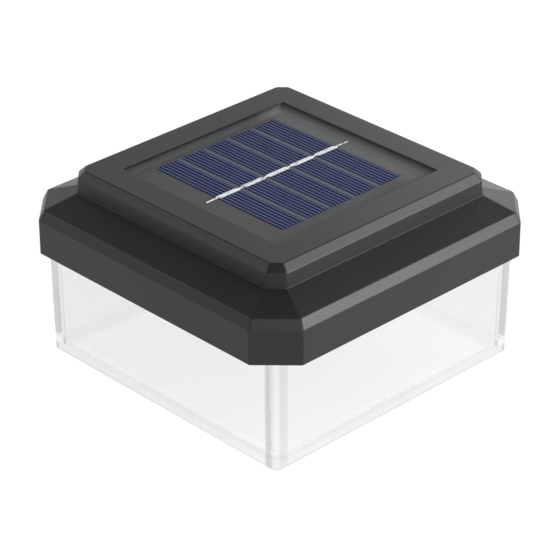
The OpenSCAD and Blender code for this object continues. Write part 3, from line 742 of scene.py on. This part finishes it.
def cap_fittings():
    """Collar, ledge, pan, gussets and bosses. They run on upwards, and the cap's form cuts them."""
    bevel_z, roof_z = side[2].y, side[3].y
    pan_half = recess_half + PAN_T
    parts = [
        square_ring(pocket_half + COLLAR_T, pocket_r + COLLAR_T, pocket_half, pocket_r,
                    skirt_z + COLLAR_LIFT, bevel_z),
        square_ring(pocket_half + COLLAR_T / 2, pocket_r, LEDGE_IN, 2 * MM, ledge_z, ledge_z + LEDGE_T),
        block((-pan_half, -pan_half, tape_z - PAN_T), (pan_half, pan_half, cap_high.z)),
    ]
    pitch = 2 * pocket_half / (GUSSETS + 1)
    for k in range(4):
        for i in range(GUSSETS):
            y = (i - (GUSSETS - 1) / 2) * pitch
            gusset = block((pocket_half + COLLAR_T / 2, y - COLLAR_T / 2, skirt_z + GUSSET_LIFT),
                           (cap_half, y + COLLAR_T / 2, cap_high.z))
            parts.append(moved(gusset, Vector(), k * math.pi / 2))
    parts += [rod(at, ledge_z - BOSS_DROP, cap_high.z, BOSS_R) for at in quarters(chassis_screw)]
    parts += [rod(at, ledge_z, roof_z, BOSS_R) for at in quarters(sleeve_screw)]
    return joined(parts)


# %% The whole cap
SCREW_HOLE_R = 1.45 * MM
CHASSIS_HOLE = 7 * MM  # how deep the screw holes go above the ledge
SLEEVE_HOLE = 10.5 * MM
LAMP_HOLE_R = 1.6 * MM
WIRE_HOLE_AT = (0, 18 * MM)
WIRE_HOLE_R = 3 * MM


def build_cap():
    shell = carve(cap_skin(), "DIFFERENCE", form_inside(CAP_WALL, skirt_z - MM))
    fittings = carve(form_inside(CAP_WALL / 2, skirt_z), "INTERSECT", cap_fittings())
    shell = carve(shell, "UNION", fittings)
    lamps_at = [(lamp_out, 0), (-lamp_out, 0), (0, lamp_out), (0, -lamp_out)]
    cuts = [loft([rounded_square(pocket_half, z, pocket_r) for z in (skirt_z - MM, ledge_z)]),
            loft([rounded_square(recess_half, z, RECESS_R) for z in (tape_z, cap_high.z + MM)])]
    for places, low, high, radius in (
            (quarters(chassis_screw), 2 * MM, CHASSIS_HOLE, SCREW_HOLE_R),
            (quarters(sleeve_screw), MM, SLEEVE_HOLE, SCREW_HOLE_R),
            (lamps_at, MM, LEDGE_T + MM, LAMP_HOLE_R)):
        cuts += [rod(at, ledge_z - low, ledge_z + high, radius) for at in places]
    cuts.append(rod(WIRE_HOLE_AT, tape_z - PAN_T - MM, tape_z + MM / 2, WIRE_HOLE_R))
    return carve(shell, "DIFFERENCE", joined(cuts))


piece("cap", build_cap(), cap_plastic, ["cap_shell"])

# %% [markdown]
# ## The clear sleeve
# The sleeve is moulded like a tray with a large square opening in its floor: four walls with a little
# draft, an inward rim at the foot, and four small ears at the top corners for screws. The wall, the rim
# and their roundings are one closed loop of rings, so light crosses true thickness everywhere. The
# edges are small on purpose: a large rounding in clear plastic draws a bright line along the foot.

# %% Rings of the sleeve
SLEEVE_WALL = 2.5 * MM
RIM_T = 2.5 * MM
RIM_W = 3.4 * MM
INNER_R = 4 * MM  # the walls' corners inside
OPENING_R = 2 * MM
OPENING_HALF = FOOT_HALF - SLEEVE_WALL - RIM_W
OUTER_CENTRE = FOOT_HALF - SLEEVE_R  # the corner arcs keep their centres at every height
INNER_CENTRE = FOOT_HALF - SLEEVE_WALL - INNER_R
OPENING_CENTRE = OPENING_HALF - OPENING_R
OUTER_EDGE_R = 0.15 * MM
INNER_EDGE_R = 0.03 * MM


def arc(centre, radius, start, stop, steps=4):
    angles = [math.radians(start + (stop - start) * i / steps) for i in range(steps + 1)]
    return [centre + Vector((math.cos(a), math.sin(a))) * radius for a in angles]


def sleeve_rings():
    """Up the outside, down the inside and round the mouth of the opening."""
    big, fine = OUTER_EDGE_R, INNER_EDGE_R
    top = sleeve_high.z
    wall_in = FOOT_HALF - SLEEVE_WALL
    outer = arc(Vector((FOOT_HALF - big, big)), big, -90, 0)
    outer += arc(Vector((FOOT_HALF + top * DRAFT - big, top - big)), big, 0, 90)
    inner = arc(Vector((wall_in + top * DRAFT + big, top - big)), big, 90, 180)
    inner += arc(Vector((wall_in + RIM_T * DRAFT - fine, RIM_T + fine)), fine, 0, -90)
    mouth = arc(Vector((OPENING_HALF + fine, RIM_T - fine)), fine, 90, 180)
    mouth += arc(Vector((OPENING_HALF + fine, fine)), fine, 180, 270)
    rings = []
    for line, centre in ((outer, OUTER_CENTRE), (inner, INNER_CENTRE), (mouth, OPENING_CENTRE)):
        rings += [rounded_square(p.x, p.y, p.x - centre) for p in line]
    return rings


print("opening in the sleeve's foot: %.1f mm" % (2 * OPENING_HALF / MM))

# %% Ears, and the whole sleeve
EAR_T = 2.5 * MM
EAR_EDGE = (95 - 5 * math.sqrt(2)) * MM  # an ear starts where x + y is this, 5 mm inside its screw
EAR_HOLE_R = 1.7 * MM


def ear(k):
    """A corner plate that ends in the middle of the wall."""
    half = FOOT_HALF - SLEEVE_WALL / 2 + sleeve_high.z * DRAFT
    start = EAR_EDGE - half
    corner = rounded_square(half, 0, half - INNER_CENTRE)[:CORNER_STEPS + 1]
    outline = [Vector((half, start, 0))] + corner + [Vector((start, half, 0))]
    levels = (sleeve_high.z - EAR_T, sleeve_high.z - HAIR)
    plate = loft([[p + Vector((0, 0, z)) for p in outline] for z in levels])
    return moved(plate, Vector(), k * math.pi / 2)


def build_sleeve():
    body = carve(loft(sleeve_rings(), loop=True), "UNION", joined([ear(k) for k in range(4)]))
    low, high = sleeve_high.z - EAR_T - MM, sleeve_high.z + MM
    holes = [rod(at, low, high, EAR_HOLE_R) for at in quarters(sleeve_screw)]
    return carve(body, "DIFFERENCE", joined(holes))


piece("sleeve", build_sleeve(), clear_acrylic, ["clear_sleeve"], angle=50.0)

# %% [markdown]
# ## Panel and ribbon
# The board, the five strips and the film keep the frame's own shapes: they are flat plates. The ribbon
# is soldered by hand, so it is drawn as one: a little askew, wide on the strips and narrow between
# them, with uneven edges and a broken tail.

# %% Dress the flat plates
dress("panel_board", panel_base)
dress("panel_film", clear_film)
dress("panel_tape", foam_tape)
for strip in STRIPS:
    dress("cell_%d" % strip, cell_silicon(strip))


# %% The soldered ribbon
RIBBON_BACK = Vector((-1.85, 35.1)) * MM
RIBBON_FRONT = Vector((-2.3, -32.5)) * MM
RIBBON_ON_STRIP = 1.9 * MM
RIBBON_BETWEEN = 0.8 * MM
RIBBON_TAIL = 0.5 * MM
RIBBON_ROWS = 270
RIBBON_SLANT = 0.35  # the ends on the strips are cut at a slant


def ribbon_width(y):
    for strip in STRIPS:
        low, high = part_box("cell_%d" % strip)
        if low.y < y < high.y:
            return RIBBON_ON_STRIP
    return RIBBON_TAIL if y > high.y else RIBBON_BETWEEN


def build_ribbon():
    low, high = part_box("cell_ribbon")
    rings = []
    for i in range(RIBBON_ROWS + 1):
        middle = RIBBON_FRONT.lerp(RIBBON_BACK, i / RIBBON_ROWS)
        half = ribbon_width(middle.y) / 2
        half += 0.05 * MM * noise.noise(Vector((0, middle.y / MM, 3)))
        top = high.z - HAIR + HAIR * noise.noise(Vector((2, middle.y / MM * 0.7, 1)))
        side_top = top - 0.03 * MM
        slant = RIBBON_SLANT if half > RIBBON_BETWEEN else 0.0
        rings.append([Vector((middle.x + s * half, middle.y + s * slant * half, z)) for s, z in (
            (-1, low.z), (1, low.z), (1, side_top), (0.85, top), (-0.85, top), (-1, side_top))])
    print("ribbon %.1f mm long" % ((RIBBON_BACK.y - RIBBON_FRONT.y) / MM))
    return loft(rings)


piece("ribbon", build_ribbon(), tinned_copper, ["cell_ribbon"])

# %% [markdown]
# ## The bead round the panel
# The panel is sealed into its recess with resin that creeps up the wall and sets in a hollow fillet.
# Its colour holds painted shade and painted light: it is painted dark towards the top, where the wall
# is in shade, and as pale as the board at its foot, paler still towards the back against the shadow of
# the recess wall, so the recess has no hard shadow line at its foot. A loft of rounded squares follows
# the wall all the way round.

# %% The bead of resin
BEAD_FOOT = board_high.z
BEAD_RUN = 2.9 * MM
BEAD_RISE = cap_high.z - 0.2 * MM - BEAD_FOOT
BEAD_STEPS = 8


def resin_with_painted_shade():
    surface = Surface("resin_with_painted_shade", Specular_IOR_Level=0.1)
    cloud = surface.noise(120.0, 3.0)
    _, y, z = surface.axes()
    # painted light: towards the back the bead is painted paler, against the recess wall's shadow
    back = y.above(PAINTED_LIGHT_FROM, 14 * MM)
    foot_tone_with_painted_light = surface.mix(back, rgb(78, 79, 80), rgb(116, 117, 118))
    foot_tone_with_painted_light = surface.mix(cloud * 0.2, foot_tone_with_painted_light, rgb(66, 67, 69))
    painted_shade_tone = surface.mix(back, rgb(16, 16, 17), rgb(58, 58, 59))
    # painted shade: towards the top the bead is painted dark, for the shade at the wall
    up = z.above(BEAD_FOOT + 0.4 * BEAD_RISE, 0.8 * BEAD_RISE)
    return surface.paint(
        Base_Color=surface.mix(up, foot_tone_with_painted_light, painted_shade_tone), Roughness=0.6 + cloud * 0.1,
        Normal=surface.bump(cloud, 0.02 * MM, 0.3))


def build_bead():
    wall = recess_half - HAIR
    rings = []
    for i in range(BEAD_STEPS + 1):
        a = math.pi / 2 * i / BEAD_STEPS
        rings.append(rounded_square(wall - BEAD_RUN * (1 - math.sin(a)),
                                    BEAD_FOOT + BEAD_RISE * (1 - math.cos(a)), RECESS_R))
    print("bead %.1f mm wide and %.1f mm high" % (BEAD_RUN / MM, BEAD_RISE / MM))
    return loft(rings + [rounded_square(wall, BEAD_FOOT, RECESS_R)], loop=True)


piece("panel_bead", build_bead(), resin_with_painted_shade(), angle=60.0)

# %% [markdown]
# ## Moulded pieces from below
# The chassis, the battery door and the switch's knob already have their full shape in the frame. A copy
# of each gets its edges rounded by a small bevel, as a mould leaves them, and stands in for the node.

# %% Round the edges of a copy
FLAT = math.radians(2)  # faces that meet at less are one face
SHARP = math.radians(25)  # edges that bend more are rounded


def softened(node, width):
    shape = bmesh.new()
    shape.from_mesh(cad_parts[node].data)
    bmesh.ops.remove_doubles(shape, verts=shape.verts, dist=0.002 * MM)
    bmesh.ops.dissolve_limit(shape, angle_limit=FLAT, verts=shape.verts, edges=shape.edges)
    bmesh.ops.recalc_face_normals(shape, faces=shape.faces)
    edges = [edge for edge in shape.edges if len(edge.link_faces) == 2 and edge.calc_face_angle() > SHARP]
    bmesh.ops.bevel(
        shape, geom=edges, offset=width, segments=2, profile=0.5, affect="EDGES", clamp_overlap=True)
    return shape


chassis_shape = softened("chassis", 0.12 * MM)
piece("chassis_moulding", chassis_shape, chassis_plastic, ["chassis"])
door_shape = softened("battery_door", 0.12 * MM)
piece("door", door_shape, chassis_plastic, ["battery_door"], body="door")
knob_shape = softened("switch_knob", 0.1 * MM)
piece("knob", knob_shape, knob_plastic, ["switch_knob"], body="knob")

# %% [markdown]
# ## Screws
# A screw is a head turned from one profile, a cross recess pressed into it, and a shank with a real
# helical thread: the rings of the shank are the same circle, pushed out where the thread passes.

# %% One screw
SUNK = 0.05 * MM  # the shank's start lies a little inside the head


def screw(radius, head_r, head_h, length):
    """Head down, its bearing face at z = 0."""
    dome = [(head_r * math.sin(math.radians(a)), -head_h * (0.35 + 0.65 * math.cos(math.radians(a))))
            for a in (1, 25, 45, 62, 76, 90)]
    head = revolve(dome + [(head_r, 0), (radius * 0.9, 0.0)])
    slot = 0.13 * head_r
    for k in range(2):
        cross = block((-head_r * 0.55, -slot, -head_h - MM), (head_r * 0.55, slot, -head_h * 0.45))
        head = carve(head, "DIFFERENCE", moved(cross, Vector(), k * math.pi / 2))
    pitch = 1.1 * MM * radius / (1.4 * MM)  # 1.1 mm on a 2.8 mm screw, and less on a thinner one
    rows = int(length / pitch) * 6
    rings = []
    for i in range(rows + 1):
        z = length * i / rows
        taper = min(1.0, (length - z) / radius * 0.7 + 0.3)
        ring = []
        for a in turn(20):
            crest = abs((z / pitch - a / (2 * math.pi)) % 1 - 0.5) * 2
            r = radius * taper * (0.76 + 0.24 * crest ** 2)
            ring.append(Vector((r * math.cos(a), r * math.sin(a), z - SUNK)))
        rings.append(ring)
    return joined([head, loft(rings)])


# %% Where the screws go
LONG_SCREW = (1.4, 2.75, 1.8, 12)  # radius, radius and height of the head, length, in mm
SHORT_SCREW = (0.95, 1.9, 1.3, 6)
board_middle = 19 * MM
board_hole = Vector((17, 9)) * MM  # from the board's middle to its corner holes


def screws(name, node, places, size, turned_over=False):
    low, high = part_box(node)
    radius, head_r, head_h, length = (s * MM for s in size)
    made = []
    for i, (x, y) in enumerate(places):
        one = screw(radius, head_r, head_h, length)
        if turned_over:
            one.transform(Matrix.Rotation(math.pi, 4, "X"))
        foot = high.z - head_h if turned_over else low.z + head_h
        made.append(moved(one, Vector((x, y, foot)), 0.4 + 0.9 * i))  # no two stop at the same angle
    piece(name, joined(made), screw_steel, [node])


screws("chassis_screw_set", "chassis_screws", quarters(chassis_screw), LONG_SCREW)
screws("sleeve_screw_set", "sleeve_screws", quarters(sleeve_screw), LONG_SCREW)
board_screws_at = [(board_hole.x, board_middle - board_hole.y), (-board_hole.x, board_middle + board_hole.y)]
screws("board_screw_set", "board_screws", board_screws_at, SHORT_SCREW, turned_over=True)

# %% [markdown]
# ## Lamps, battery and spring
# A lamp is a clear dome on a flange with a small yellow chip inside it. The battery is a can in a
# plain shrink sleeve, and its spring a tapered coil of wire, swept along a helix.

# %% Lamps
LAMP_R = 1.5 * MM
FLANGE_W = 0.4 * MM
FLANGE_T = 1.0 * MM


def lamp(name, node):
    low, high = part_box(node)
    middle = (low + high) / 2
    r, tip = LAMP_R, low.z
    flange_z = ledge_z + LEDGE_T
    dome = [(r * math.sin(math.radians(a)), tip + r - r * math.cos(math.radians(a)))
            for a in range(3, 91, 11)]
    flange = [(r, flange_z), (r + 0.38 * MM, flange_z + HAIR),
              (r + FLANGE_W, flange_z + 0.9 * MM), (r + 0.3 * MM, flange_z + FLANGE_T)]
    place = Vector((middle.x, middle.y, 0))
    piece(name, moved(revolve(dome + flange), place), lamp_resin, [node])
    cup = revolve([(0.45 * MM, tip + 1.1 * MM), (0.75 * MM, tip + 1.15 * MM), (0.5 * MM, tip + 1.9 * MM)])
    piece(name + "_chip", moved(cup, place), phosphor)
    legs = [rod((s * 0.7 * MM, 0), tip + 1.8 * MM, high.z, 0.22 * MM, 12) for s in (-1, 1)]
    across = math.atan2(middle.y, middle.x) + math.pi / 2
    piece(name + "_legs", moved(joined(legs), place, across), contact_steel)


for way in ("front", "right", "back", "left"):
    lamp("lamp_" + way, "led_" + way)


# %% Battery and spring
SPRING_TURNS = 4
SPRING_STEPS = 26 * SPRING_TURNS
SPRING_R = 5.11  # at its foot, in mm
SPRING_TAPER = 2.27  # how much less at its tip
SPRING_WIRE_R = 0.35 * MM


def build_battery():
    low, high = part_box("battery")
    middle = (low + high) / 2
    r = (high.z - low.z) / 2
    length = high.x - low.x
    soft = 0.5 * MM
    foot = [(r * 0.3, 0), (r * 0.72, 0), (r * 0.78, soft * 0.6), (r - soft, soft * 0.2), (r, soft)]
    crimp = [(r, length - 2.2 * MM), (r - soft, length - 1.5 * MM), (r * 0.6, length - 1.4 * MM)]
    knob = [(r * 0.39, length - 1.3 * MM), (r * 0.38, length - 0.3 * MM), (r * 0.33, length)]
    can = revolve(foot + crimp + knob, 48)
    lying = Matrix.Rotation(math.pi / 2, 4, "Y")
    can.transform(Matrix.Translation(Vector((low.x, middle.y, middle.z))) @ lying)
    return can


def build_spring():
    low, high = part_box("battery_spring")
    wire = SPRING_WIRE_R
    middle = (low + high) / 2
    travel = high.x - low.x - 2 * wire
    rings = []
    for i in range(SPRING_STEPS + 1):
        t = i / SPRING_STEPS
        r = (SPRING_R - SPRING_TAPER * t) * MM
        a = 2 * math.pi * SPRING_TURNS * t
        out = Vector((0, math.cos(a), math.sin(a)))
        centre = Vector((low.x + wire + travel * t, middle.y + r * out.y, middle.z + r * out.z))
        rings.append([centre + (out * math.cos(b) + Vector((1, 0, 0)) * math.sin(b)) * wire
                      for b in turn(10)])
    return loft(rings)


piece("battery_can", build_battery(), battery_wrap, ["battery"])
piece("contact_spring", build_spring(), contact_steel, ["battery_spring"])

# %% Dress what keeps the frame's shape
KEPT_NODES = {
    "panel_leads": wire_red, "battery_leads": wire_black, "led_leads": wire_black,
    "chassis_seal": seal_rubber, "control_board": circuit_lacquer, "board_parts": dark_resin,
    "switch_body": switch_metal, "negative_plate": contact_steel, "positive_plate": contact_steel}
for node, material in KEPT_NODES.items():
    dress(node, material)
print("dressed:", ", ".join(KEPT_NODES))

# %% [markdown]
# ## Studio
# The object stands on a white sweep under soft lamps. What the camera, glass and gloss see of the floor
# is mostly its own white, so the picture's ground stays white, and a smaller part takes the lamps'
# light, so the shadow stays. Seen from below the floor is open, so that a view from there shows the
# underside. The room has two faces as well. To matt surfaces it gives an even, soft light. In gloss and
# through glass it is white at the horizon and nearly black overhead, which is what lets the black
# slopes fall dark while the bevels, which mirror the horizon, stay bright.

# %% What shows the background
def seen_ray(nodes):
    """1 for rays that show the background: to the camera, in gloss and through clear plastic."""
    camera = nodes.node("LightPath", output="Is Camera Ray")
    glossy = nodes.node("LightPath", output="Is Glossy Ray")
    through = nodes.node("LightPath", output="Is Transmission Ray")
    return (camera + glossy + through).above(0.5, 0.1)


# %% Floor
FLOOR_SIZE = 6.0
CONTACT = 0.1 * MM  # the foot is wetted to the floor, as if pressed on it
FLOOR_GLOW = 0.92
# painted shade: seen through clear plastic the floor glows less, which stands in for the shade inside the
# sleeve
GLOW_IN_GLASS = 0.8


def add_floor():
    bpy.ops.mesh.primitive_grid_add(
        x_subdivisions=8, y_subdivisions=8, size=FLOOR_SIZE, location=(0, 0, CONTACT))
    floor = bpy.context.object
    floor.name = "floor"
    surface = Surface("floor_white")
    tone = surface.mix(surface.noise(3.0, 2.0), grey(0.78), grey(0.8))
    pale = surface.node("BsdfDiffuse", sockets={"Color": tone})
    shadowed = surface.node("BsdfDiffuse", sockets={"Color": grey(0.14)})
    glow = surface.node("Emission", sockets={"Color": WHITE, "Strength": FLOOR_GLOW})
    shaded_glow_in_glass = surface.node("Emission", sockets={"Color": WHITE, "Strength": GLOW_IN_GLASS})
    through = surface.node("LightPath", output="Is Transmission Ray")
    glow = surface.either(through, glow, shaded_glow_in_glass)
    shown = surface.node("AddShader", sockets={0: glow, 1: shadowed})
    above = surface.either(seen_ray(surface), pale, shown)
    under = surface.node("NewGeometry", output="Backfacing")
    gone = surface.node("BsdfTransparent", sockets={"Color": WHITE})
    surface.hand_in(Surface=surface.either(under, above, gone))
    floor.data.materials.append(surface.material)
    print("floor %.0f m wide" % FLOOR_SIZE)


add_floor()

# %% Room
# height of the direction, from the horizon at 0 to overhead at 1, and the room's tone there
ROOM_TONES = ((0.0, 1.0), (0.26, 1.0), (0.42, 0.78), (0.5, 0.58), (0.6, 0.46),
              (0.79, 0.28), (0.91, 0.08), (1.0, 0.03))
ROOM_LIGHT = 0.5


def add_room():
    world = bpy.data.worlds.new("room")
    world.use_nodes = True
    bpy.context.scene.world = world
    room = Nodes(world.node_tree)
    direction = room.node("TexCoord", output="Generated")
    height = room.node("SeparateXYZ", sockets={0: direction}, output=2)
    stops = [(up, grey(tone)) for up, tone in ROOM_TONES]
    shade = room.node("ValToRGB", {"stops": stops}, {0: height})
    lit = room.node("Background", sockets={"Color": WHITE, "Strength": ROOM_LIGHT})
    shown = room.node("Background", sockets={"Color": shade, "Strength": 1.0})
    room.hand_in(Surface=room.either(seen_ray(room), lit, shown))
    print("room of %d tones" % len(ROOM_TONES))


add_room()

# %% [markdown]
# ## Lamps of the studio
# Five large soft boxes stand around the object at one distance. The key and the back lamp stand behind
# it on the right, which draws a soft sheen over the slopes on the picture's right and leaves those on
# the left dark. The others only lift the sides that they face.

# %% Soft boxes
BOX_SIZE = 0.6
BOX_AWAY = 1.5


def soft_box(name, azimuth, elevation, power):
    """A square soft box that faces the object; azimuth 0 is in front, 90 to the right."""
    a = math.radians(azimuth)
    e = math.radians(elevation)
    away = Vector((math.sin(a) * math.cos(e), -math.cos(a) * math.cos(e), math.sin(e)))
    data = bpy.data.lights.new(name, "AREA")
    data.size = BOX_SIZE
    data.energy = power
    made = bpy.data.objects.new(name, data)
    made.location = Vector((0, 0, skirt_z)) + away * BOX_AWAY
    made.rotation_euler = away.to_track_quat("Z", "Y").to_euler()
    bpy.context.scene.collection.objects.link(made)
    print("%s: %.1f W" % (name, power))


soft_box("key", 120, 17, 18.0)
soft_box("back", 146, 34, 8.5)
soft_box("right", 60, 17, 3.7)
soft_box("back_left", 210, 17, 2.0)
soft_box("front_left", 314, 32, 2.6)

# %% The end
print("scene built")
